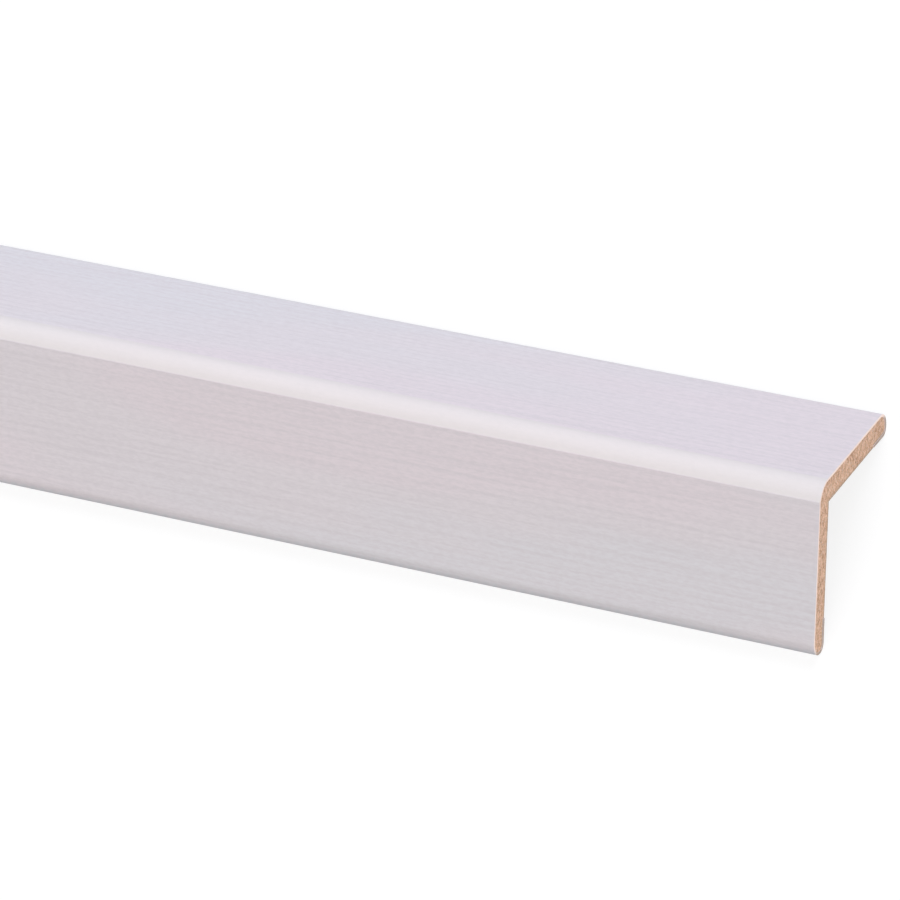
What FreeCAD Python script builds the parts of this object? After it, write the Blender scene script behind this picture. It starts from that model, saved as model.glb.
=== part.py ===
import FreeCAD, Part
import math
import os

os.makedirs("parts", exist_ok=True)

# Corner guard moulding: one length of equal-leg angle stock, a fibreboard core wrapped
# in thin foil, sawn square at both ends. Millimetres and degrees.
# The section is drawn in the guard's own corner frame: the virtual outer corner is at
# Y = 0, Z = 0, the first leg runs along +Y under the plane Z = 0, and the second leg
# runs down behind the plane Y = 0. X is the length.

stock_length = 2600.0
leg_width = 27.0
leg_thickness = 4.0

foil_thickness = 0.4
# How far the foil turns in over the back of each leg, measured from the leg's tip
foil_turn_in = 5.0

# The outer corner is an arc that leaves the first leg's face and stops short of the
# second leg's. A narrow flat, tangent to the arc, closes the rest and ends in a crease.
corner_radius = 3.0
corner_sweep = 65.0

# Each tip has a wide rounding towards the face and a narrow one towards the back
tip_face_radius = 2.8
tip_back_radius = 1.1
tip_flat = 0.1

# The guard lies as a tent on its two tips, so its first leg slopes down by half a right angle
lay_angle = 45.0

tip_face_rounding = min(tip_face_radius, leg_thickness - tip_back_radius - tip_flat)


def point(y, z):
    """A point of the section, in the guard's corner frame."""
    return FreeCAD.Vector(0, y, z)


def line(start, end):
    return Part.LineSegment(start, end).toShape()


def arc(centre, radius, first, last):
    """A round stretch from one angle to another, in degrees from +Y towards +Z."""
    angles = [math.radians(a) for a in (first, (first + last) / 2, last)]
    stops = [centre + point(radius * math.cos(a), radius * math.sin(a)) for a in angles]
    return Part.Arc(*stops).toShape()


def ends(edge):
    """The two end points of an edge, in its own direction."""
    return edge.valueAt(edge.FirstParameter), edge.valueAt(edge.LastParameter)


def mirrored(edge):
    """The same edge on the other leg: Y and Z change places through the corner."""
    start, end = ends(edge)
    if isinstance(edge.Curve, Part.Line):
        return line(point(-start.z, -start.y), point(-end.z, -end.y))
    middle = edge.valueAt((edge.FirstParameter + edge.LastParameter) / 2)
    return Part.Arc(*[point(-p.z, -p.y) for p in (start, middle, end)]).toShape()


def tip_edges(inset):
    """The first leg's tip, from the foil's end on the back round to the face."""
    back_rounding = tip_back_radius - inset
    back_centre = point(leg_width - tip_back_radius, tip_back_radius - leg_thickness)
    face_rounding = tip_face_rounding - inset
    face_centre = point(leg_width - tip_face_rounding, -tip_face_rounding)
    foil_end = point(leg_width - foil_turn_in, inset - leg_thickness)
    return [
        line(foil_end, back_centre - point(0, back_rounding)),
        arc(back_centre, back_rounding, -90, 0),
        line(back_centre + point(back_rounding, 0), face_centre + point(face_rounding, 0)),
        arc(face_centre, face_rounding, 0, 90),
    ]


def corner_edges(inset):
    """The outer corner: an arc off the first leg's face, then the flat down to the crease."""
    centre = point(corner_radius, -corner_radius)
    rounding = corner_radius - inset
    bend = arc(centre, rounding, 90, 90 + corner_sweep)
    flat_turn = math.radians(90 - corner_sweep)
    crease = centre + point(-rounding, rounding * math.tan(flat_turn / 2))
    return [bend, line(ends(bend)[1], crease)]


def skin_edges(inset):
    """The wrapped stretch at a depth below the foil's outside, from one foil end to the other."""
    first_tip = tip_edges(inset)
    second_tip = [mirrored(edge) for edge in first_tip]
    corner = corner_edges(inset)
    first_face = line(ends(first_tip[-1])[1], ends(corner[0])[0])
    second_face = line(ends(corner[-1])[1], ends(second_tip[-1])[1])
    return first_tip + [first_face] + corner + [second_face] + second_tip


def foil_step():
    """The short edge on the first leg's back where the foil ends, as deep as the foil."""
    reach = leg_width - foil_turn_in
    return line(point(reach, foil_thickness - leg_thickness), point(reach, -leg_thickness))


def bare_back():
    """The first leg's bare back, from the foil's end to the sharp inner corner."""
    return line(ends(foil_step())[1], point(leg_thickness, -leg_thickness))


def stock(edges):
    """A length of stock: the closed section run along X, then laid down on its tips."""
    wire = Part.Wire(Part.__sortEdges__(edges))
    solid = Part.Face(wire).extrude(FreeCAD.Vector(stock_length, 0, 0))
    solid.translate(FreeCAD.Vector(-stock_length / 2, 0, 0))
    solid.rotate(FreeCAD.Vector(0, 0, 0), FreeCAD.Vector(1, 0, 0), -lay_angle)
    # The rounding at the back of each tip is what touches the floor
    slope = math.radians(lay_angle)
    reach = leg_width - tip_back_radius
    depth = leg_thickness - tip_back_radius
    height = reach * math.sin(slope) + depth * math.cos(slope) + tip_back_radius
    solid.translate(FreeCAD.Vector(0, 0, height))
    return solid


def fibreboard_core():
    """The core: bare on the back, and relieved under the foil so that the two lie level."""
    back = [foil_step(), bare_back()]
    return stock(skin_edges(foil_thickness) + back + [mirrored(edge) for edge in back])


def foil_wrap():
    """The foil: one strip over both faces, the corner and the tips, turned in at the back."""
    foil_ends = [foil_step(), mirrored(foil_step())]
    return stock(skin_edges(0) + skin_edges(foil_thickness) + foil_ends)


fibreboard_core().exportStep("parts/fibreboard_core.step")
foil_wrap().exportStep("parts/foil_wrap.step")
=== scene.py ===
import math
from collections import namedtuple

import bpy
from bpy.props import FloatProperty, FloatVectorProperty, IntProperty, PointerProperty
from mathutils import Matrix, Vector


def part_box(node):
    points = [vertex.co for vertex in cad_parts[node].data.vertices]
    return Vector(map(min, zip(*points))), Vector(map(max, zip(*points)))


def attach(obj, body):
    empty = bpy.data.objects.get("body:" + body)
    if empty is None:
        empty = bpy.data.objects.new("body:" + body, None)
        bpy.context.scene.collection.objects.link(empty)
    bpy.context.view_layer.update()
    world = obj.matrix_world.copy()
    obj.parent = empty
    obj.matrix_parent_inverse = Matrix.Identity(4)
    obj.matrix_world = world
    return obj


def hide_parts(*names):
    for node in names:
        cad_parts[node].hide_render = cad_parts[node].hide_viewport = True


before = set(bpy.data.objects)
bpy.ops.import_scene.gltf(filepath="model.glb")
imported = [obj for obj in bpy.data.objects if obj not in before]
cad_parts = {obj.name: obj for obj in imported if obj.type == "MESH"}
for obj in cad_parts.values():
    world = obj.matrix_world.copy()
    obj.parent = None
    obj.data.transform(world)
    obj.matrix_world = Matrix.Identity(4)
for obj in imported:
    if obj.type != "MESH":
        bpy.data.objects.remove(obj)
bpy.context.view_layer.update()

bl_info = {
    "name": "Corner Guard Moulding",
    "version": (1, 0, 0),
    "blender": (4, 5, 0),
    "location": "3D View > Sidebar > Corner guard",
    "description": "Dresses a length of foil-wrapped fibreboard corner guard",
    "category": "Object",
}

# The CAD box, and the stock's length as the frame has it
WRAP_LOW, WRAP_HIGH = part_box("foil_wrap")
STOCK_LENGTH = WRAP_HIGH.x - WRAP_LOW.x

# Attributes that the section drawings and the node trees leave on the meshes
OUTWARD = "outward"
TURNED_IN = "turned_in"
OVER_CORNER = "over_corner"
TOWARDS_BACK = "towards_back"
CUT_FACE = "cut_face"

# Seeds that a piece's mesh and its material share, so that relief and print coincide
FOIL_SEED = 3.0
BOARD_SEED = 5.0
# Seeds of the foil's other prints
LINE_SEED = 4.0
PORE_SEED = 6.0
TINT_SEED = 136.0
# Seeds of the board's specks, its broad mottle and its loose fibres
SPECK_SEED = 1.0
MOTTLE_SEED = 7.0
FIBRE_SEED = 11

# Points of a mesh that lie nearer than this are one point.
SAME_POINT = 2e-6
# Points that lie nearer than this to a sawn end's plane belong to the end.
END_REACH = 5 * SAME_POINT
# A drawn bend turns by no more than this from one point to the next.
SPAN_TURN = math.radians(12)
# Two faces that meet at more than this keep a crisp edge.
CRISP_ANGLE = math.radians(20)
QUARTER_TURN = math.pi / 2
# A face's rise for each step across it, as it lies at half a right angle
FACE_RISE = math.sin(QUARTER_TURN / 2)

# The middle of a noise, and the levels between which its fine marks come in
MIDDLE = 0.5
MARK_LOW, MARK_HIGH = 0.35, 0.65

# Refraction of the foil's lacquer and of the board's glue
LACQUER_IOR = 1.45
GLUE_IOR = 1.4

# How a loose fibre leans, at least and at most: out of the end, aside, along the saw marks
FIBRE_LEAN = ((0.04, -0.55, -1.0), (0.16, 0.55, 1.0))
# Its size, at least and at most, as a share of a whole fibre's, and how many sides it has
FIBRE_SCALE = (0.45, 1.25)
FIBRE_SIDES = 3

# Distance between nodes in the node editor
NODE_STEP = 190

# The camera's sensor, in millimetres, and the nearest that it sees, in metres
SENSOR_WIDTH = 36.0
NEAR_CLIP = 0.01

# The least that a length and a mesh spacing can be set to, and how far a corner can sweep
LEAST_LENGTH = 1e-6
LEAST_SPACING = 5e-5
SWEEP_LIMITS = {"min": math.radians(5), "max": math.radians(85)}


# Sizes, colours and lamps that a user would change

def setting(property_of, **kind):
    """One kind of setting: a function of a setting's name, description, default and limits."""
    def made(name, description, default, **limits):
        return property_of(name=name, description=description, default=default, **kind | limits)

    return made


# The kinds of setting, which the groups below use as types
Length = setting(FloatProperty, min=LEAST_LENGTH, unit="LENGTH")
Depth = setting(FloatProperty, min=0, unit="LENGTH")
Share = setting(FloatProperty, min=0, max=1, subtype="FACTOR")
Angle = setting(FloatProperty, unit="ROTATION", subtype="ANGLE")
Colour = setting(FloatVectorProperty, subtype="COLOR", size=3, min=0, max=1)
Amount = setting(FloatProperty, min=0)
Count = setting(IntProperty, min=1)


class GuardSection(bpy.types.PropertyGroup):
    """The guard's section and length"""

    length: Length("Stock length", "Length between the two sawn ends", STOCK_LENGTH)
    leg_width: Length("Leg width", "Width of each leg, over the outer corner", 0.027)
    leg_thickness: Length("Leg thickness", "Thickness of a leg, foil and all", 0.004)
    foil_thickness: Length("Foil thickness", "Thickness of the foil and its glue", 0.0004)
    foil_turn_in: Length("Foil turn-in", "How far the foil turns in over the back of each leg", 0.005)
    corner_radius: Length("Corner radius", "Radius of the outer corner's arc", 0.003)
    corner_sweep: Angle(
        "Corner sweep", "Turn of the corner's arc, before its flat begins",
        math.radians(65), **SWEEP_LIMITS,
    )
    tip_face_radius: Length("Tip radius at the face", "Rounding of a tip towards the face", 0.0028)
    tip_back_radius: Length("Tip radius at the back", "Rounding of a tip towards the back", 0.0011)
    lay_angle: Angle(
        "Lay angle", "Slope of the first leg when the guard lies on its tips", math.radians(45)
    )


class FoilFinish(bpy.types.PropertyGroup):
    """The white woodgrain foil"""

    colour: Colour("Foil colour", "White of the foil between its grain lines", (0.835, 0.783, 0.812))
    cool_colour: Colour(
        "Cool tint", "White of the foil where the print is a little cooler", (0.812, 0.790, 0.822)
    )
    warm_colour: Colour(
        "Warm tint", "White of the foil where the print is a little warmer", (0.854, 0.774, 0.810)
    )
    tint_width: Length("Tint width", "Width of a cooler or warmer stretch of the print", 0.027)
    tint_run: Length("Tint run", "Length of a cooler or warmer stretch of the print", 0.1)
    grain_colour: Colour(
        "Grain colour", "The print at its darkest, in the middle of a grain line", (0.72, 0.67, 0.70)
    )
    # Painted shade: the darker grey that the foil is painted round each tip
    tip_shade_colour: Colour(
        "Rounded colour", "The print where the foil is drawn round a tip", (0.68, 0.67, 0.71)
    )
    # Painted highlight: the warm, creamy tint of the lit band over the outer corner
    corner_highlight_colour: Colour(
        "Corner colour", "The foil where it is stretched over the outer corner", (0.817, 0.773, 0.757)
    )
    # Painted highlight: how far the print fades in the lit band over the corner
    highlight_fade: Share("Corner fade", "How much of the print the stretched foil loses", 0.7)
    cut_colour: Colour(
        "Cut edge colour", "The foil and its glue, where a saw has cut them", (0.98, 0.82, 0.76)
    )
    # Darker, browner colour that the cut edge takes round each tip
    dark_tip_edge_colour: Colour(
        "Dusty edge colour", "The cut edge at a tip, under the saw's dust", (0.45, 0.36, 0.30)
    )
    groove_depth: Depth("Groove depth", "Depth of an embossed grain line", 0.000008)
    groove_pitch: Length("Groove pitch", "Spacing of the embossed grain lines across a face", 0.00125)
    groove_run: Length("Groove run", "Length of an embossed grain line", 0.09)
    groove_print: Share("Groove print", "How much of the grain colour an embossed line takes", 0.20)
    line_pitch: Length("Line pitch", "Spacing of the fine printed lines", 0.0005)
    line_run: Length("Line run", "Length of a fine printed line", 0.03)
    line_print: Share("Line print", "How much of the grain colour a fine line takes", 0.15)
    pore_depth: Depth("Pore depth", "Depth of the fine pores between the grain lines", 0.000006)
    pore_pitch: Length("Pore pitch", "Spacing of the fine pores", 0.00035)
    pore_run: Length("Pore run", "Length of a fine pore along the stock", 0.0010)
    pore_print: Share("Pore print", "How much of the grain colour a pore takes", 0.32)
    roughness: Share("Foil roughness", "Roughness of the foil's satin face", 0.5)
    pore_roughness: Share("Pore roughness", "How much rougher the foil is in its pores", 0.1)
    cut_roughness: Share("Cut edge roughness", "Roughness of the foil's cut edge", 0.8)
    shine: Share("Foil shine", "Strength of the satin face's reflection", 0.2)
    fray: Depth("Fray", "How far the sawn edge of the foil is torn back", 0.00003)
    fray_size: Length("Fray size", "Spacing of the tears along the sawn edge", 0.0003)
    point_spacing: Length(
        "Point spacing", "Spacing of mesh points across the foil's outside", 0.00019, min=LEAST_SPACING
    )
    rows: Count("Rows", "Mesh rows along the stock", 236)


class BoardFinish(bpy.types.PropertyGroup):
    """The fibreboard core"""

    colour: Colour("Board colour", "Sawn fibreboard", (0.685, 0.442, 0.310))
    pale_colour: Colour(
        "Pale fibre", "Bundles of fibre that stand up and catch the light", (0.89, 0.62, 0.47)
    )
    dark_colour: Colour("Dark fibre", "Pits and dark bundles of fibre", (0.45, 0.255, 0.165))
    pressed_colour: Colour(
        "Pressed skin", "The board's dense skin, at its bare back", (0.47, 0.35, 0.265)
    )
    roughness: Share("Board roughness", "Roughness of the board", 0.82)
    speck_roughness: Share("Speck roughness", "How much rougher the board is in its pale specks", 0.13)
    shine: Share("Board shine", "Strength of the dull board's reflection", 0.12)
    saw_depth: Depth("Saw mark depth", "Depth of the saw marks on a sawn end", 0.00006)
    saw_pitch: Length("Saw mark pitch", "Spacing of the saw marks", 0.00032)
    saw_run: Length("Saw mark run", "Length of a saw mark", 0.0010)
    speckle_size: Length("Speckle size", "Size of the specks of pale and dark fibre", 0.00024)
    end_recess: Depth("End recess", "How far the board's end lies inside the foil's", 0.00008)
    point_spacing: Length(
        "Point spacing", "Spacing of mesh points on a sawn end", 0.00013, min=LEAST_SPACING
    )
    rows: Count("Rows", "Mesh rows along the stock", 10)
    fibre_density: Amount("Fibre density", "Loose fibres on each square metre of sawn end", 4e6)
    fibre_length: Length("Fibre length", "Length of a loose fibre", 0.00030)
    fibre_radius: Length("Fibre radius", "Half the thickness of a loose fibre at its root", 0.000012)


class GuardStage(bpy.types.PropertyGroup):
    """The floor, the lamps and the camera"""

    floor_size: Length("Floor size", "Side of the square floor", 120.0)
    shadow_share: Share("Shadow share", "Share of the floor's white that a shadow can take", 0.2)
    floor_bounce: Share("Floor bounce", "Share of the light that the floor throws back", 0.4)
    ambient: Amount("Ambient light", "Strength of the light from all round", 0.15)
    key_light: Amount("Key light", "Strength of the soft lamp over the first leg's face", 1.89)
    key_turn: Angle(
        "Key turn", "Key lamp's turn from the first leg's face to the second's", math.radians(5.5)
    )
    fill_light: Amount("Fill light", "Strength of the soft lamp before the second leg's face", 1.40)
    fill_turn: Angle(
        "Fill turn", "Fill lamp's turn from the first leg's face to the second's", math.radians(82)
    )
    key_colour: Colour("Key colour", "Colour of the key lamp", (0.872, 0.905, 1.0))
    fill_colour: Colour("Fill colour", "Colour of the fill lamp", (1.0, 0.978, 0.962))
    end_colour: Colour("End colour", "Colour of the two lamps on the sawn ends", (1.0, 0.99, 0.97))
    face_spread: Angle("Face spread", "Apparent size of the lamps on the two faces", math.radians(50))
    side_spread: Angle(
        "Side spread", "Apparent size of the lamp on the near sawn end", math.radians(40)
    )
    far_spread: Angle("Far spread", "Apparent size of the lamp on the far sawn end", math.radians(20))
    side_light: Amount("Side light", "Strength of the soft lamp on the near sawn end", 3.2)
    far_light: Amount("Far light", "Strength of the soft lamp on the far sawn end", 1.8)
    view_azimuth: Angle(
        "View azimuth", "Turn of the view, from square at the second leg's face", math.radians(-24.04)
    )
    view_elevation: Angle(
        "View elevation", "Height of the view over the first leg's face", math.radians(26.527)
    )
    view_roll: Angle("View roll", "Tilt of the picture", math.radians(0.131))
    view_distance: Length("View distance", "From the camera to the point that it aims at", 0.6744)
    aim_from_end: Length("Aim from the end", "From the sawn end back to the aimed point", 0.0549)
    aim_below_corner: Length(
        "Aim below the corner", "From the outer corner down to the aimed point", 0.0056
    )
    lens: Amount("Lens", "Focal length on a 36 mm sensor, in millimetres", 192.73)


# The section, drawn in the guard's own corner frame: the virtual outer corner is at 0, 0,
# the first leg runs along +Y under Z = 0, and the second leg runs down behind Y = 0.

Stretch = namedtuple("Stretch", "length turn place")


def straight(start, end):
    """A straight stretch of an outline. Its place gives the point at a share of the way."""
    start, end = Vector(start), Vector(end)
    return Stretch((end - start).length, 0.0, lambda share: start.lerp(end, share))


def still(point):
    """A stretch of no length, to pair with one that has some."""
    return straight(point, point)


def bend(centre, radius, first, last):
    """A round stretch of an outline, from one angle to another, from +Y towards +Z."""
    def place(share):
        angle = first + (last - first) * share
        return Vector(centre) + radius * Vector((math.cos(angle), math.sin(angle)))

    turn = abs(last - first)
    return Stretch(radius * turn, turn, place)


def backwards(stretch):
    return stretch._replace(place=lambda share: stretch.place(1 - share))


def on_other_leg(point):
    return Vector((-point.y, -point.x))


def other_leg(stretches):
    """The same stretches on the other leg, in the order that carries the outline on."""
    def swapped(stretch):
        return stretch._replace(place=lambda share: on_other_leg(stretch.place(1 - share)))

    return [swapped(stretch) for stretch in reversed(stretches)]


def tip_stretches(size, inset):
    """The first leg's tip at a depth under the foil's outside: back, bend, nose and bend."""
    width, thick = size.leg_width, size.leg_thickness
    back, face = size.tip_back_radius, size.tip_face_radius
    return [
        straight((width - size.foil_turn_in, inset - thick), (width - back, inset - thick)),
        bend((width - back, back - thick), back - inset, -QUARTER_TURN, 0),
        straight((width - inset, back - thick), (width - inset, -face)),
        bend((width - face, -face), face - inset, 0, QUARTER_TURN),
    ]


def corner_stretches(size, inset):
    """The outer corner: an arc off the first leg's face, then the flat down to the crease."""
    radius = size.corner_radius
    rounding = radius - inset
    arc = bend((radius, -radius), rounding, QUARTER_TURN, QUARTER_TURN + size.corner_sweep)
    flat_turn = QUARTER_TURN - size.corner_sweep
    crease = (inset, rounding * math.tan(flat_turn / 2) - radius)
    return [arc, straight(arc.place(1), crease)]


def wrapped_outline(size, inset):
    """The outline that the foil covers, from one foil end to the other."""
    tip = tip_stretches(size, inset)
    corner = corner_stretches(size, inset)
    far_tip = other_leg(tip)
    first_face = straight(tip[-1].place(1), corner[0].place(0))
    second_face = straight(corner[-1].place(1), far_tip[0].place(0))
    return tip + [first_face] + corner + [second_face] + far_tip


def board_outlines(size):
    """The board's face and its back as two outlines whose stretches lie opposite in pairs."""
    inset, thick = size.foil_thickness, size.leg_thickness
    reach = size.leg_width - size.foil_turn_in
    relief, back_bend, nose, face_bend = tip_stretches(size, inset)
    corner = corner_stretches(size, inset)
    inner_corner = (thick, -thick)
    opposite_step = (reach, -inset)
    nose_middle = nose.place(0.5)

    tip_face = [
        straight(nose_middle, nose.place(1)),
        face_bend,
        straight(face_bend.place(1), opposite_step),
        still(opposite_step),
    ]
    first_run = straight(opposite_step, corner[0].place(0))
    far_tip_face = other_leg(tip_face)
    second_run = straight(corner[-1].place(1), far_tip_face[0].place(0))
    face = tip_face + [first_run] + corner + [second_run] + far_tip_face

    tip_back = [
        straight(nose_middle, nose.place(0)),
        backwards(back_bend),
        backwards(relief),
        straight((reach, inset - thick), (reach, -thick)),
        straight((reach, -thick), inner_corner),
    ]
    back = tip_back + [still(inner_corner) for _ in corner] + other_leg(tip_back)
    return face, back


def spans_in(stretch, spacing):
    """The spans that a stretch is drawn with."""
    return max(1, math.ceil(stretch.length / spacing), math.ceil(stretch.turn / SPAN_TURN))


def points_along(stretches, counts):
    """The points of an outline, with a count of spans for each of its stretches."""
    points = []
    for stretch, count in zip(stretches, counts):
        points += [stretch.place(step / count) for step in range(count)]
    return points + [stretches[-1].place(1)]


def outward_normals(points):
    """The outline's normals, away from the board, with none at its two ends."""
    normals = [Vector((0, 0))]
    for before, after in zip(points, points[2:]):
        along = (after - before).normalized()
        normals.append(Vector((along.y, -along.x)))
    return normals + [Vector((0, 0))]


def laid(size, direction):
    """A direction of the corner frame as it is once the guard lies on its tips."""
    slope = size.lay_angle
    y, z = direction
    across = y * math.cos(slope) + z * math.sin(slope)
    up = z * math.cos(slope) - y * math.sin(slope)
    return Vector((0.0, across, up))


def laid_place(size, point):
    """A section point as it is once the guard lies on its tips, which touch the floor."""
    back_centre = (size.leg_width - size.tip_back_radius, size.tip_back_radius - size.leg_thickness)
    lift = size.tip_back_radius - laid(size, back_centre).z
    return laid(size, point) + Vector((0.0, 0.0, lift))


def section_mesh(name, size, points, faces, attributes):
    """A flat section at X = 0 with its faces towards -X, and named values at its points."""
    mesh = bpy.data.meshes.new(name)
    mesh.from_pydata([laid_place(size, point) for point in points], [], faces)
    for label, values in attributes.items():
        if isinstance(values[0], Vector):
            layer = mesh.attributes.new(label, "FLOAT_VECTOR", "POINT")
            layer.data.foreach_set("vector", [part for value in values for part in value])
        else:
            layer = mesh.attributes.new(label, "FLOAT", "POINT")
            layer.data.foreach_set("value", values)
    return mesh


def turned_in(size, point):
    """How far round a tip a point lies: 0 on the face, 1 from the nose to the foil's end."""
    reach, depth = max(point.x, -point.y), min(point.x, -point.y)
    if reach < size.leg_width - size.foil_turn_in - SAME_POINT:
        return 0.0
    return min(max(2 * depth / size.leg_thickness, 0.0), 1.0)


def over_corner(size, point):
    """1 where the foil lies over the outer corner, down to the crease, 0 elsewhere: where the painted
    highlight tint goes.
    """
    return float(point.x > SAME_POINT and max(point.x, -point.y) < size.corner_radius)


def foil_section(size, finish):
    """The foil as one face: its outside in fine steps, its glued side in coarse ones."""
    outside = wrapped_outline(size, 0.0)
    inside = wrapped_outline(size, size.foil_thickness)
    fine = [spans_in(stretch, finish.point_spacing) for stretch in outside]
    coarse = [spans_in(stretch, size.leg_width) for stretch in inside]
    outer = points_along(outside, fine)
    inner = points_along(inside, coarse)
    normals = [laid(size, normal) for normal in outward_normals(outer)]
    normals += [Vector((0, 0, 0))] * len(inner)
    count = len(outer)
    loop = [*range(count, count + len(inner)), *reversed(range(count))]
    turns = [turned_in(size, point) for point in outer + inner]
    stretches = [over_corner(size, point) for point in outer + inner]
    attributes = {OUTWARD: normals, TURNED_IN: turns, OVER_CORNER: stretches}
    return section_mesh("foil section", size, outer + inner, [loop], attributes)


def board_section(size, finish):
    """The board as a grid of small faces between its face and its back."""
    face, back = board_outlines(size)
    pairs = zip(face, back)
    counts = [max(spans_in(s, finish.point_spacing) for s in pair) for pair in pairs]
    face_points = points_along(face, counts)
    back_points = points_along(back, counts)
    depth = size.leg_thickness - size.foil_thickness
    layers = math.ceil(depth / finish.point_spacing)
    points, shares, faces = [], [], []
    for near, far in zip(face_points, back_points):
        for layer in range(layers + 1):
            points.append(near.lerp(far, layer / layers))
            shares.append(layer / layers)
    across = layers + 1
    for column in range(len(face_points) - 1):
        for layer in range(layers):
            corner = column * across + layer
            faces.append((corner, corner + 1, corner + across + 1, corner + across))
    return section_mesh("board section", size, points, faces, {TOWARDS_BACK: shares})


# Node trees

def socket(sockets, key):
    """A socket by its place, or the one in use by its name."""
    if isinstance(key, int):
        return sockets[key]
    return next(s for s in sockets if s.name == key and s.enabled)


def node(tree, kind, inputs=None, **settings):
    """A new node with its settings, and its inputs linked or set."""
    made = tree.nodes.new(kind)
    made.location = (NODE_STEP * len(tree.nodes), 0)
    for name, value in settings.items():
        setattr(made, name, value)
    for key, value in (inputs or {}).items():
        target = socket(made.inputs, key)
        if isinstance(value, bpy.types.NodeSocket):
            tree.links.new(value, target)
        else:
            target.default_value = value
    return made


def out(made, key=0):
    return socket(made.outputs, key)


def maths(tree, operation, *values, clamp=False):
    made = node(tree, "ShaderNodeMath", dict(enumerate(values)), operation=operation)
    made.use_clamp = clamp
    return out(made)


def times(tree, first, second):
    return maths(tree, "MULTIPLY", first, second)


def scaled(tree, vector, factor):
    inputs = {0: vector, "Scale": factor}
    return out(node(tree, "ShaderNodeVectorMath", inputs, operation="SCALE"))


def between(tree, value, low, high, to_low=0.0, to_high=1.0):
    """A value's smooth step from one level to another."""
    inputs = {"Value": value, "From Min": low, "From Max": high}
    inputs.update({"To Min": to_low, "To Max": to_high})
    return out(node(tree, "ShaderNodeMapRange", inputs, interpolation_type="SMOOTHSTEP"))


def noise(tree, vector, seed, detail=2.0, distortion=0.0):
    inputs = {"Vector": vector, "W": seed, "Scale": 1.0, "Detail": detail, "Distortion": distortion}
    return out(node(tree, "ShaderNodeTexNoise", inputs, noise_dimensions="4D"))


def mixed(tree, factor, first, second):
    """Two colours mixed."""
    inputs = {"Factor": factor, "A": first, "B": second}
    return out(node(tree, "ShaderNodeMix", inputs, data_type="RGBA"), "Result")


def vector_of(tree, x=0.0, y=0.0, z=0.0):
    return out(node(tree, "ShaderNodeCombineXYZ", {"X": x, "Y": y, "Z": z}))


def split(tree, vector):
    """A vector's three parts, in order or by name."""
    return node(tree, "ShaderNodeSeparateXYZ", {"Vector": vector}).outputs


def along_grain(tree, vector, pitch, run):
    """A place measured in runs along X and in pitches across."""
    along = maths(tree, "DIVIDE", 1.0, run)
    across = maths(tree, "DIVIDE", 1.0, pitch)
    steps = vector_of(tree, along, across, across)
    return out(node(tree, "ShaderNodeVectorMath", {0: vector, 1: steps}, operation="MULTIPLY"))


def grain(tree, vector, pitch, run, seed):
    """Marks that run along X, as a ripple around one half."""
    wander = 0.35
    return noise(tree, along_grain(tree, vector, pitch, run), seed, distortion=wander)


def grain_lines(tree, vector, pitch, run, seed):
    """A mask of long lines a pitch apart, which wander and fade as they run along X."""
    drift = 2.5
    fade_run = 0.4
    fade_low, fade_high = 0.24, 0.54
    line_edge = -0.2
    # Both faces slope alike as the guard lies, so a straight line would keep its height
    step = times(tree, pitch, FACE_RISE)
    count = maths(tree, "DIVIDE", split(tree, vector)["Z"], step)
    wander = grain(tree, vector, times(tree, pitch, drift), run, seed)
    phase = maths(tree, "MULTIPLY_ADD", wander, drift, count)
    wave = maths(tree, "SINE", times(tree, phase, math.tau))
    strength = grain(tree, vector, pitch, times(tree, run, fade_run), seed)
    strength = between(tree, strength, fade_low, fade_high)
    return times(tree, between(tree, wave, line_edge, 1.0), strength)


def new_group(name, kind, inputs, outputs):
    """An empty node group with named inputs and outputs, and what its inputs give."""
    tree = bpy.data.node_groups.new(name, kind)
    for way, sockets in (("INPUT", inputs), ("OUTPUT", outputs)):
        for label, holds in sockets.items():
            tree.interface.new_socket(name=label, in_out=way, socket_type="NodeSocket" + holds)
    return tree, node(tree, "NodeGroupInput").outputs


def grain_group():
    """Grain or saw marks along X, for more than one material."""
    inputs = {"Vector": "Vector", "Pitch": "Float", "Run": "Float", "Seed": "Float"}
    tree, given = new_group("Grain", "ShaderNodeTree", inputs, {"Ripple": "Float"})
    ripple = grain(tree, *(given[name] for name in inputs))
    node(tree, "NodeGroupOutput", {"Ripple": ripple})
    return tree


def speckle_group():
    """Soft specks of one size. The board has them fine, and broad as a mottle."""
    inputs = {"Vector": "Vector", "Size": "Float", "Seed": "Float"}
    tree, given = new_group("Speckle", "ShaderNodeTree", inputs, {"Specks": "Float"})
    place = scaled(tree, given["Vector"], maths(tree, "DIVIDE", 1.0, given["Size"]))
    specks = noise(tree, place, given["Seed"], detail=3.0)
    node(tree, "NodeGroupOutput", {"Specks": specks})
    return tree


def grain_at(tree, place, pitch, run, seed):
    """What the grain group gives, with its own values for this place in a material."""
    group = bpy.data.node_groups.get("Grain") or grain_group()
    values = {"Vector": place, "Pitch": pitch, "Run": run, "Seed": seed}
    return out(node(tree, "ShaderNodeGroup", values, node_tree=group))


def specks_at(tree, place, size, seed):
    """What the speckle group gives, with its own values for this place in a material."""
    group = bpy.data.node_groups.get("Speckle") or speckle_group()
    values = {"Vector": place, "Size": size, "Seed": seed}
    return out(node(tree, "ShaderNodeGroup", values, node_tree=group))


def named_value(tree, name, kind="FLOAT"):
    return out(node(tree, "GeometryNodeInputNamedAttribute", {"Name": name}, data_type=kind))


def stored(tree, geometry, name, value, domain, kind="FLOAT"):
    inputs = {"Geometry": geometry, "Name": name, "Value": value}
    made = node(tree, "GeometryNodeStoreNamedAttribute", inputs, data_type=kind, domain=domain)
    return out(made)


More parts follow.
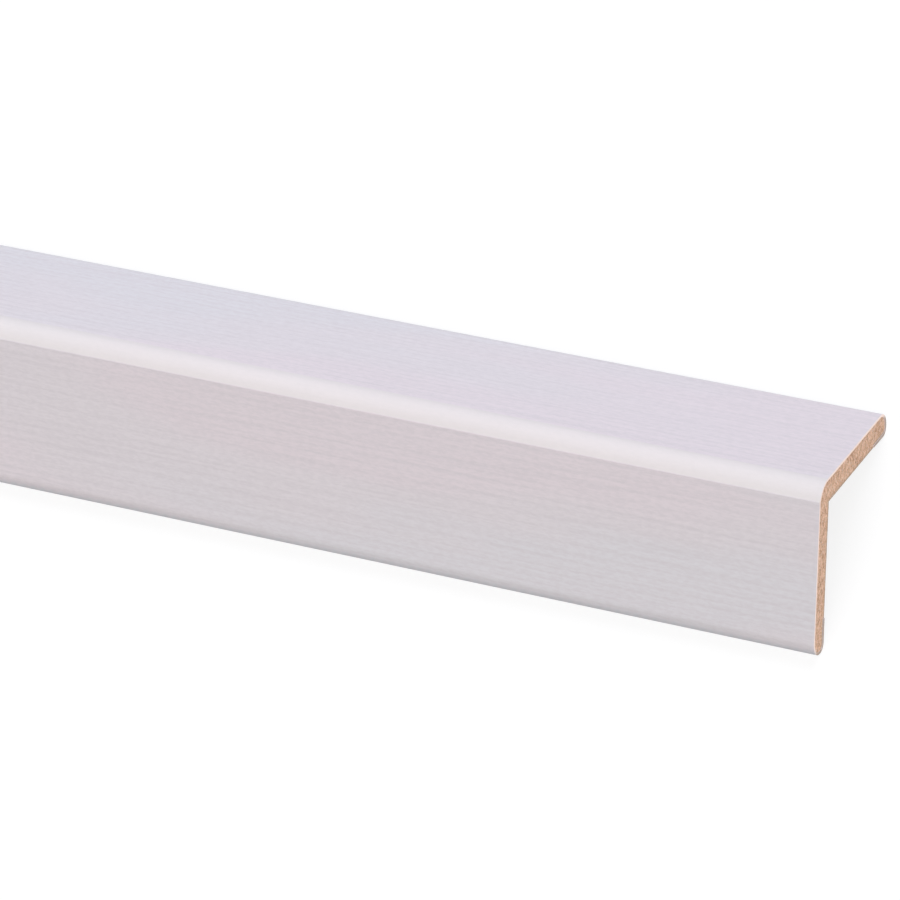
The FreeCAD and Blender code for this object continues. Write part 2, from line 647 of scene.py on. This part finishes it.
def random_value(tree, limits, seed, kind="FLOAT"):
    """Another value for each point, between two limits."""
    inputs = {"Min": limits[0], "Max": limits[1], "Seed": seed}
    return out(node(tree, "FunctionNodeRandomValue", inputs, data_type=kind), "Value")


def fused(tree, geometry):
    inputs = {"Geometry": geometry, "Distance": SAME_POINT}
    return out(node(tree, "GeometryNodeMergeByDistance", inputs))


def moved(tree, geometry, offset):
    return out(node(tree, "GeometryNodeSetPosition", {"Geometry": geometry, "Offset": offset}))


def joined(tree, *parts):
    made = node(tree, "GeometryNodeJoinGeometry")
    for part in parts:
        tree.links.new(part, made.inputs[0])
    return out(made)


def chosen_faces(tree, geometry, choice):
    inputs = {"Geometry": geometry, "Selection": choice}
    return out(node(tree, "GeometryNodeSeparateGeometry", inputs, domain="FACE"), "Selection")


def instances(tree, points, shape, placing=None):
    inputs = {"Points": points, "Instance": shape} | (placing or {})
    return out(node(tree, "GeometryNodeInstanceOnPoints", inputs))


def realised(tree, geometry):
    return out(node(tree, "GeometryNodeRealizeInstances", {"Geometry": geometry}))


def put_out(tree, geometry, material):
    """The end of a tree: its geometry, all real, in its material."""
    coat = {"Geometry": realised(tree, geometry), "Material": material}
    node(tree, "NodeGroupOutput", {0: out(node(tree, "GeometryNodeSetMaterial", coat))})


def in_corner_frame(tree, vector, lay_angle):
    """A place turned back from how the guard lies to its corner frame."""
    inputs = {"Vector": vector, "Angle": lay_angle}
    return out(node(tree, "ShaderNodeVectorRotate", inputs, rotation_type="X_AXIS"))


def along_saw(tree, vector, lay_angle):
    """The same place with the saw's direction, down the second leg, as X."""
    x, y, z = split(tree, in_corner_frame(tree, vector, lay_angle))
    return vector_of(tree, z, y, x)


def side_rows(tree, given, section, low_end):
    """One row of side faces, repeated along the stock."""
    step = vector_of(tree, x=maths(tree, "DIVIDE", given["Length"], given["Rows"]))
    faces_beside = out(node(tree, "GeometryNodeInputMeshEdgeNeighbors"))
    rim = maths(tree, "LESS_THAN", faces_beside, 2.0)
    pull = {"Mesh": section, "Selection": rim, "Offset": step}
    pulled = node(tree, "GeometryNodeExtrudeMesh", pull, mode="EDGES")
    row = chosen_faces(tree, out(pulled, "Mesh"), out(pulled, "Side"))
    stops = {"Count": given["Rows"], "Start Location": low_end, "Offset": step}
    line = out(node(tree, "GeometryNodeMeshLine", stops, mode="OFFSET"))
    return realised(tree, instances(tree, line, row))


def sawn_ends(tree, section, low_end, high_end):
    """The two ends, whose faces look away from each other."""
    far_end = out(node(tree, "GeometryNodeFlipFaces", {"Mesh": moved(tree, section, high_end)}))
    ends = joined(tree, moved(tree, section, low_end), far_end)
    return stored(tree, ends, CUT_FACE, 1.0, "FACE")


def edges_marked(tree, stock, crisp_angle):
    """Smooth faces between crisp edges, marked before any relief is pressed in."""
    turn = out(node(tree, "GeometryNodeInputMeshEdgeAngle"), "Unsigned Angle")
    crisp = maths(tree, "GREATER_THAN", turn, crisp_angle)
    smooth = out(node(tree, "GeometryNodeSetShadeSmooth", {"Geometry": stock}))
    return stored(tree, smooth, "sharp_edge", crisp, "EDGE", "BOOLEAN")


def grain_pressed(tree, given, stock, place):
    """The stock with its grain lines pressed in, where the section has an outward direction."""
    lines = grain_lines(tree, place, given["Groove Pitch"], given["Groove Run"], given["Seed"])
    depth = times(tree, given["Groove Depth"], -1.0)
    outward = named_value(tree, OUTWARD, "FLOAT_VECTOR")
    return moved(tree, stock, scaled(tree, outward, times(tree, depth, lines)))


def ends_sawn(tree, given, stock, place, half):
    """The stock with saw marks and a recess, only on the points of its two ends."""
    saw_place = along_saw(tree, place, given["Lay Angle"])
    marks = grain(tree, saw_place, given["Cut Pitch"], given["Cut Run"], given["Seed"])
    bite = times(tree, marks, given["Cut Depth"])
    bite = maths(tree, "ADD", bite, given["End Recess"])
    distance = split(tree, place)["X"]
    end_from = maths(tree, "SUBTRACT", half, END_REACH)
    at_end = maths(tree, "GREATER_THAN", maths(tree, "ABSOLUTE", distance), end_from)
    inward = times(tree, maths(tree, "SIGN", distance), -1.0)
    inward = times(tree, inward, at_end)
    return moved(tree, stock, vector_of(tree, x=times(tree, inward, bite)))


def run_of_stock_group():
    """Runs a section along X in rows, closes both ends, and presses grain and saw marks in."""
    measures = (
        "Length", "Crisp Angle", "Groove Depth", "Groove Pitch", "Groove Run", "Cut Depth",
        "Cut Pitch", "Cut Run", "End Recess", "Lay Angle", "Seed",
    )
    inputs = {"Section": "Geometry", "Rows": "Int", "Material": "Material"}
    inputs.update(dict.fromkeys(measures, "Float"))
    tree, given = new_group("Run of stock", "GeometryNodeTree", inputs, {"Geometry": "Geometry"})
    section = fused(tree, given["Section"])
    half = times(tree, given["Length"], 0.5)
    low_end = vector_of(tree, x=times(tree, half, -1.0))
    sides = side_rows(tree, given, section, low_end)
    ends = sawn_ends(tree, section, low_end, vector_of(tree, x=half))
    stock = edges_marked(tree, fused(tree, joined(tree, ends, sides)), given["Crisp Angle"])
    place = out(node(tree, "GeometryNodeInputPosition"))
    stock = grain_pressed(tree, given, stock, place)
    stock = ends_sawn(tree, given, stock, place, half)
    put_out(tree, stock, given["Material"])
    return tree


def fibre_turns(tree, given, normals):
    """Each fibre points along the saw marks, either way, a little aside and a little out."""
    lean = random_value(tree, FIBRE_LEAN, given["Seed"], "FLOAT_VECTOR")
    rise, aside, down_leg = split(tree, lean)
    rise = times(tree, rise, maths(tree, "SIGN", split(tree, normals)["X"]))
    heading = vector_of(tree, rise, aside, maths(tree, "SIGN", down_leg))
    turn_back = times(tree, given["Lay Angle"], -1.0)
    heading = in_corner_frame(tree, heading, turn_back)
    return out(node(tree, "FunctionNodeAlignRotationToVector", {"Vector": heading}, axis="Z"))


def loose_fibres_group():
    """Scatters short tapered fibres on the sawn ends, laid along the saw's direction."""
    inputs = {
        "Board": "Geometry", "Density": "Float", "Fibre Length": "Float", "Fibre Radius": "Float",
        "Lay Angle": "Float", "Seed": "Int", "Material": "Material",
    }
    tree, given = new_group("Loose fibres", "GeometryNodeTree", inputs, {"Geometry": "Geometry"})
    ends = chosen_faces(tree, given["Board"], named_value(tree, CUT_FACE))
    spread = {"Mesh": ends, "Density": given["Density"], "Seed": given["Seed"]}
    scatter = node(tree, "GeometryNodeDistributePointsOnFaces", spread)
    taper = {
        "Vertices": FIBRE_SIDES, "Radius Top": 0.0, "Radius Bottom": given["Fibre Radius"],
        "Depth": given["Fibre Length"],
    }
    fibre = out(node(tree, "GeometryNodeMeshCone", taper, fill_type="NGON"), "Mesh")
    placing = {
        "Rotation": fibre_turns(tree, given, out(scatter, "Normal")),
        "Scale": random_value(tree, FIBRE_SCALE, given["Seed"]),
    }
    fibres = instances(tree, out(scatter, "Points"), fibre, placing)
    put_out(tree, fibres, given["Material"])
    return tree


def new_object(context, name, data):
    made = bpy.data.objects.new(name, data)
    context.scene.collection.objects.link(made)
    return made


def grown(context, name, start, tree, values):
    """An object whose mesh is what the node tree makes of the start mesh, with nothing live."""
    made = new_object(context, name, start)
    modifier = made.modifiers.new(tree.name, "NODES")
    modifier.node_group = tree
    for item in tree.interface.items_tree:
        if item.item_type == "SOCKET" and item.in_out == "INPUT" and item.name in values:
            modifier[item.identifier] = values[item.name]
    graph = context.evaluated_depsgraph_get()
    mesh = bpy.data.meshes.new_from_object(
        made.evaluated_get(graph), preserve_all_data_layers=True, depsgraph=graph
    )
    made.modifiers.remove(modifier)
    made.data = mesh
    mesh.name = name
    bpy.data.meshes.remove(start)
    if not mesh.polygons:
        raise RuntimeError(f"{tree.name} made no faces for {name}")
    return made


def run_out(context, name, section, rows, values):
    """A section run along the whole stock, with what both long pieces have alike."""
    size = context.scene.guard_section
    tree = bpy.data.node_groups.get("Run of stock") or run_of_stock_group()
    shared = {
        "Length": size.length, "Rows": rows, "Lay Angle": size.lay_angle, "Crisp Angle": CRISP_ANGLE,
    }
    return grown(context, name, section, tree, values | shared)


# Materials

def rgba(colour):
    return (*colour, 1.0)


def new_material(name, refraction, shine):
    """A material, its node tree and its surface shader."""
    material = bpy.data.materials.new(name)
    material.use_nodes = True
    tree = material.node_tree
    shader = tree.nodes["Principled BSDF"]
    shader.inputs["IOR"].default_value = refraction
    shader.inputs["Specular IOR Level"].default_value = shine
    return material, tree, shader


def surface_value(tree, name):
    return out(node(tree, "ShaderNodeAttribute", attribute_name=name), "Fac")


def bumped(tree, height, distance):
    return out(node(tree, "ShaderNodeBump", {"Height": height, "Distance": distance}))


def set_shader(tree, shader, colour, roughness, normal):
    tree.links.new(colour, shader.inputs["Base Color"])
    tree.links.new(roughness, shader.inputs["Roughness"])
    tree.links.new(normal, shader.inputs["Normal"])


def tinted_white(tree, finish, place):
    """The foil's white, in long faint stretches a little cooler or warmer."""
    tint_blend = 0.12
    tints = grain_at(tree, place, finish.tint_width, finish.tint_run, TINT_SEED)
    cool = between(tree, tints, MIDDLE, MIDDLE - tint_blend)
    warm = between(tree, tints, MIDDLE, MIDDLE + tint_blend)
    white = mixed(tree, cool, rgba(finish.colour), rgba(finish.cool_colour))
    return mixed(tree, warm, white, rgba(finish.warm_colour))


def grain_print(tree, finish, place, pores):
    """How much of the grain colour the embossed lines, the fine lines and the pores take."""
    grooves = grain_lines(tree, place, finish.groove_pitch, finish.groove_run, FOIL_SEED)
    lines = grain_at(tree, place, finish.line_pitch, finish.line_run, LINE_SEED)
    fine_lines = between(tree, lines, MARK_LOW, MARK_HIGH, 0.0, finish.line_print)
    fine_pores = between(tree, pores, MARK_LOW, MARK_HIGH, 0.0, finish.pore_print)
    fine = maths(tree, "ADD", fine_lines, fine_pores)
    return maths(tree, "MULTIPLY_ADD", grooves, finish.groove_print, fine, clamp=True)


def painted_tip_shade(tree, finish, colour, round_tip):
    """Painted shade: the foil is painted darker grey round each tip, and white again towards its end.
    """
    shade_from, shade_until = 0.4, 0.6
    tip_shade = between(tree, round_tip, 0.0, shade_from)
    tip_shade = times(tree, tip_shade, between(tree, round_tip, 1.0, shade_until))
    return mixed(tree, tip_shade, colour, rgba(finish.tip_shade_colour))


def cut_edge(tree, finish, round_tip):
    """The foil's cut edge, darker and browner towards each tip."""
    darken_from, darken_full = 0.2, 0.8
    tip_darkening = between(tree, round_tip, darken_from, darken_full)
    return mixed(tree, tip_darkening, rgba(finish.cut_colour), rgba(finish.dark_tip_edge_colour))


def foil_material(finish):
    """White satin foil with printed and embossed grain, a cream cut edge, a painted highlight tint
    over the outer corner and painted shade round the tips.
    """
    material, tree, shader = new_material("white_foil", LACQUER_IOR, finish.shine)
    place = out(node(tree, "ShaderNodeTexCoord"), "Object")
    pores = grain_at(tree, place, finish.pore_pitch, finish.pore_run, PORE_SEED)
    cut, round_tip = surface_value(tree, CUT_FACE), surface_value(tree, TURNED_IN)

    white = tinted_white(tree, finish, place)
    printed = grain_print(tree, finish, place, pores)
    colour = mixed(tree, printed, white, rgba(finish.grain_colour))
    # Painted highlight: over the corner the print fades and the white takes the lit band's warm tint
    highlight_tint = times(tree, surface_value(tree, OVER_CORNER), finish.highlight_fade)
    colour = mixed(tree, highlight_tint, colour, rgba(finish.corner_highlight_colour))
    # Painted shade: darker grey painted round each tip
    colour = painted_tip_shade(tree, finish, colour, round_tip)
    colour = mixed(tree, cut, colour, cut_edge(tree, finish, round_tip))

    roughest = finish.roughness + finish.pore_roughness
    rough = between(tree, pores, MARK_LOW, MARK_HIGH, finish.roughness, roughest)
    rough = maths(tree, "MULTIPLY_ADD", cut, finish.cut_roughness - finish.roughness, rough)
    set_shader(tree, shader, colour, rough, bumped(tree, pores, finish.pore_depth))
    return material


def fibre_blend(tree, finish, place, specks, lay_angle):
    """The saw's streaks, the fine specks and the broad mottle in one, around one half."""
    mark_share, speck_share, mottle_share = 0.45, 0.45, 0.1
    mottle_scale = 6
    saw_place = along_saw(tree, place, lay_angle)
    marks = grain_at(tree, saw_place, finish.saw_pitch, finish.saw_run, BOARD_SEED)
    mottle = specks_at(tree, place, mottle_scale * finish.speckle_size, MOTTLE_SEED)
    blend = times(tree, marks, mark_share)
    blend = maths(tree, "MULTIPLY_ADD", specks, speck_share, blend)
    return maths(tree, "MULTIPLY_ADD", mottle, mottle_share, blend)


def skin_cover(tree, specks):
    """The skin is all of the bare back and a rim on the sawn ends, thin in its pits."""
    skin_from, pit_cover = 0.84, 0.5
    skin = between(tree, surface_value(tree, TOWARDS_BACK), skin_from, 1.0)
    return times(tree, skin, between(tree, specks, MARK_LOW, MIDDLE, pit_cover, 1.0))


def board_material(finish, lay_angle):
    """Sawn fibreboard, streaked by the saw, with a dense pressed skin at its back."""
    material, tree, shader = new_material("fibreboard", GLUE_IOR, finish.shine)
    place = out(node(tree, "ShaderNodeTexCoord"), "Object")
    specks = specks_at(tree, place, finish.speckle_size, SPECK_SEED)
    blend = fibre_blend(tree, finish, place, specks, lay_angle)

    contrast = 0.1
    dark = between(tree, blend, MIDDLE, MIDDLE - contrast)
    pale = between(tree, blend, MIDDLE, MIDDLE + contrast)
    colour = mixed(tree, dark, rgba(finish.colour), rgba(finish.dark_colour))
    colour = mixed(tree, pale, colour, rgba(finish.pale_colour))
    colour = mixed(tree, skin_cover(tree, specks), colour, rgba(finish.pressed_colour))

    roughest = finish.roughness + finish.speck_roughness
    rough = between(tree, specks, MARK_LOW, MARK_HIGH, finish.roughness, roughest)
    set_shader(tree, shader, colour, rough, bumped(tree, blend, finish.speckle_size / 2))
    return material


# Operators

class GUARD_OT_wrap_foil(bpy.types.Operator):
    """Make the white foil that wraps both legs and turns in at their tips"""

    bl_idname = "guard.wrap_foil"
    bl_label = "Wrap the foil"

    def execute(self, context):
        size, finish = context.scene.guard_section, context.scene.guard_foil
        values = {
            "Groove Depth": finish.groove_depth, "Groove Pitch": finish.groove_pitch,
            "Groove Run": finish.groove_run, "Cut Depth": finish.fray,
            "Cut Pitch": finish.fray_size, "Cut Run": finish.fray_size,
            "Seed": FOIL_SEED, "Material": foil_material(finish),
        }
        foil = run_out(context, "white_foil", foil_section(size, finish), finish.rows, values)
        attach(foil, "root")
        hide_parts("foil_wrap")
        return {"FINISHED"}


class GUARD_OT_shape_board(bpy.types.Operator):
    """Make the fibreboard core with its bare back and its sawn ends"""

    bl_idname = "guard.shape_board"
    bl_label = "Shape the board"

    def execute(self, context):
        size, finish = context.scene.guard_section, context.scene.guard_board
        values = {
            "Cut Depth": finish.saw_depth, "Cut Pitch": finish.saw_pitch,
            "Cut Run": finish.saw_run, "End Recess": finish.end_recess,
            "Seed": BOARD_SEED, "Material": board_material(finish, size.lay_angle),
        }
        board = run_out(context, "fibreboard", board_section(size, finish), finish.rows, values)
        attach(board, "root")
        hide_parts("fibreboard_core")
        return {"FINISHED"}


class GUARD_OT_raise_fibres(bpy.types.Operator):
    """Raise the loose fibres that the saw leaves on the ends of the board"""

    bl_idname = "guard.raise_fibres"
    bl_label = "Raise the sawn fibres"

    def execute(self, context):
        size, finish = context.scene.guard_section, context.scene.guard_board
        board = bpy.data.objects.get("fibreboard")
        if board is None:
            raise RuntimeError("Shape the board before raising its fibres")
        values = {
            "Density": finish.fibre_density, "Fibre Length": finish.fibre_length,
            "Fibre Radius": finish.fibre_radius, "Lay Angle": size.lay_angle,
            "Seed": FIBRE_SEED, "Material": board.data.materials[0],
        }
        start = board.data.copy()
        fibres = grown(context, "sawn_fibres", start, loose_fibres_group(), values)
        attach(fibres, "root")
        return {"FINISHED"}


class GUARD_OT_set_stage(bpy.types.Operator):
    """Set the floor, the soft lamps and the camera"""

    bl_idname = "guard.set_stage"
    bl_label = "Set the stage"

    def execute(self, context):
        size, look = context.scene.guard_section, context.scene.guard_stage
        lay_floor(context, look)
        light_world(context, look)
        hang_lamps(context, size, look)
        place_camera(context, size, look)
        context.scene.view_settings.view_transform = "Standard"
        return {"FINISHED"}


# The stage

def background_rays(tree):
    """1 on the rays that see the background: straight, in a reflection or through glass."""
    path = node(tree, "ShaderNodeLightPath")
    rays = maths(tree, "MAXIMUM", out(path, "Is Camera Ray"), out(path, "Is Glossy Ray"))
    return maths(tree, "MAXIMUM", rays, out(path, "Is Transmission Ray"))


def empty_tree(owner):
    """A material's or world's node tree, with nothing in it yet."""
    owner.use_nodes = True
    owner.node_tree.nodes.clear()
    return owner.node_tree


def lay_floor(context, look):
    """A pale floor that shows as white and still takes the shadow."""
    reach = look.floor_size / 2
    corners = [(-reach, -reach, 0), (reach, -reach, 0), (reach, reach, 0), (-reach, reach, 0)]
    mesh = bpy.data.meshes.new("floor")
    mesh.from_pydata(corners, [], [(0, 1, 2, 3)])
    floor = new_object(context, "floor", mesh)
    material = bpy.data.materials.new("pale floor")
    tree = empty_tree(material)
    bounce = [look.floor_bounce] * 3
    pale = out(node(tree, "ShaderNodeBsdfDiffuse", {"Color": rgba(bounce)}))
    # The glow is a little over the shadow's counterpart, so that the lit floor stays white
    share, lift = look.shadow_share, 0.04
    dimmed = out(node(tree, "ShaderNodeBsdfDiffuse", {"Color": rgba([share] * 3)}))
    glow = out(node(tree, "ShaderNodeEmission", {"Strength": 1.0 - share + lift}))
    white = out(node(tree, "ShaderNodeAddShader", {0: dimmed, 1: glow}))
    shown = out(node(tree, "ShaderNodeMixShader", {0: background_rays(tree), 1: pale, 2: white}))
    node(tree, "ShaderNodeOutputMaterial", {"Surface": shown})
    mesh.materials.append(material)


def light_world(context, look):
    """Soft light from all round, and plain white where the background shows."""
    world = bpy.data.worlds.new("studio")
    context.scene.world = world
    tree = empty_tree(world)
    plain = rgba((1.0, 1.0, 1.0))
    lit = {"Color": plain, "Strength": look.ambient}
    soft = out(node(tree, "ShaderNodeBackground", lit))
    white = out(node(tree, "ShaderNodeBackground", {"Color": plain}))
    shown = out(node(tree, "ShaderNodeMixShader", {0: background_rays(tree), 1: soft, 2: white}))
    node(tree, "ShaderNodeOutputWorld", {"Surface": shown})


def hang_lamp(context, name, strength, colour, spread, source):
    """A soft far-off lamp that shines from a direction."""
    lamp = bpy.data.lights.new(name, "SUN")
    lamp.energy = strength
    lamp.color = colour
    lamp.angle = spread
    made = new_object(context, name, lamp)
    made.rotation_mode = "QUATERNION"
    made.rotation_quaternion = source.to_track_quat("Z", "Y")


def hang_lamps(context, size, look):
    """The lamps' directions are in the corner frame, so they keep to the guard's two faces."""
    key_way, fill_way = (
        laid(size, (-math.sin(turn), math.cos(turn))) for turn in (look.key_turn, look.fill_turn)
    )
    end_way = Vector((1.0, 0.0, 0.0))
    lamps = [
        ("key lamp", look.key_light, look.key_colour, look.face_spread, key_way),
        ("fill lamp", look.fill_light, look.fill_colour, look.face_spread, fill_way),
        ("side lamp", look.side_light, look.end_colour, look.side_spread, end_way),
        ("far lamp", look.far_light, look.end_colour, look.far_spread, -end_way),
    ]
    for lamp in lamps:
        hang_lamp(context, *lamp)


def place_camera(context, size, look):
    """The camera, by its turn, height and roll in the corner frame and the point it aims at."""
    azimuth, elevation, roll = look.view_azimuth, look.view_elevation, look.view_roll
    ahead = Vector((
        math.sin(azimuth) * math.cos(elevation),
        math.cos(azimuth) * math.cos(elevation),
        -math.sin(elevation),
    ))
    level = ahead.cross(Vector((0, 0, 1))).normalized()
    upright = level.cross(ahead)
    right = level * math.cos(roll) + upright * math.sin(roll)
    up = right.cross(ahead)

    def turned(axis):
        return Vector((axis.x, 0, 0)) + laid(size, (axis.y, axis.z))

    aim = laid_place(size, (0.0, -look.aim_below_corner))
    aim.x = size.length / 2 - look.aim_from_end
    axes = [turned(right), turned(up), -turned(ahead)]
    facing = Matrix(axes).transposed().to_4x4()
    data = bpy.data.cameras.new("camera")
    data.sensor_width = SENSOR_WIDTH
    data.lens = look.lens
    data.clip_start, data.clip_end = NEAR_CLIP, look.floor_size
    camera = new_object(context, "camera", data)
    camera.matrix_world = Matrix.Translation(aim - turned(ahead) * look.view_distance) @ facing
    context.scene.camera = camera


# The sidebar, and the making of the whole guard

class GUARD_PT_sidebar(bpy.types.Panel):
    """The guard's settings and the steps that make it"""

    bl_label = "Corner guard"
    bl_space_type = "VIEW_3D"
    bl_region_type = "UI"
    bl_category = "Corner guard"

    def draw(self, context):
        for operator in OPERATORS:
            self.layout.operator(operator.bl_idname)
        for name in SETTINGS:
            settings = getattr(context.scene, name)
            box = self.layout.box()
            for field in type(settings).__annotations__:
                box.prop(settings, field)


OPERATORS = (GUARD_OT_wrap_foil, GUARD_OT_shape_board, GUARD_OT_raise_fibres, GUARD_OT_set_stage)
SETTINGS = {
    "guard_section": GuardSection,
    "guard_foil": FoilFinish,
    "guard_board": BoardFinish,
    "guard_stage": GuardStage,
}


def register():
    for group in (*SETTINGS.values(), *OPERATORS, GUARD_PT_sidebar):
        bpy.utils.register_class(group)
    for name, group in SETTINGS.items():
        setattr(bpy.types.Scene, name, PointerProperty(type=group))


def unregister():
    for name in SETTINGS:
        delattr(bpy.types.Scene, name)
    for group in reversed((*SETTINGS.values(), *OPERATORS, GUARD_PT_sidebar)):
        bpy.utils.unregister_class(group)


def main():
    register()
    bpy.ops.guard.wrap_foil()
    bpy.ops.guard.shape_board()
    bpy.ops.guard.raise_fibres()
    bpy.ops.guard.set_stage()


if __name__ == "__main__":
    main()
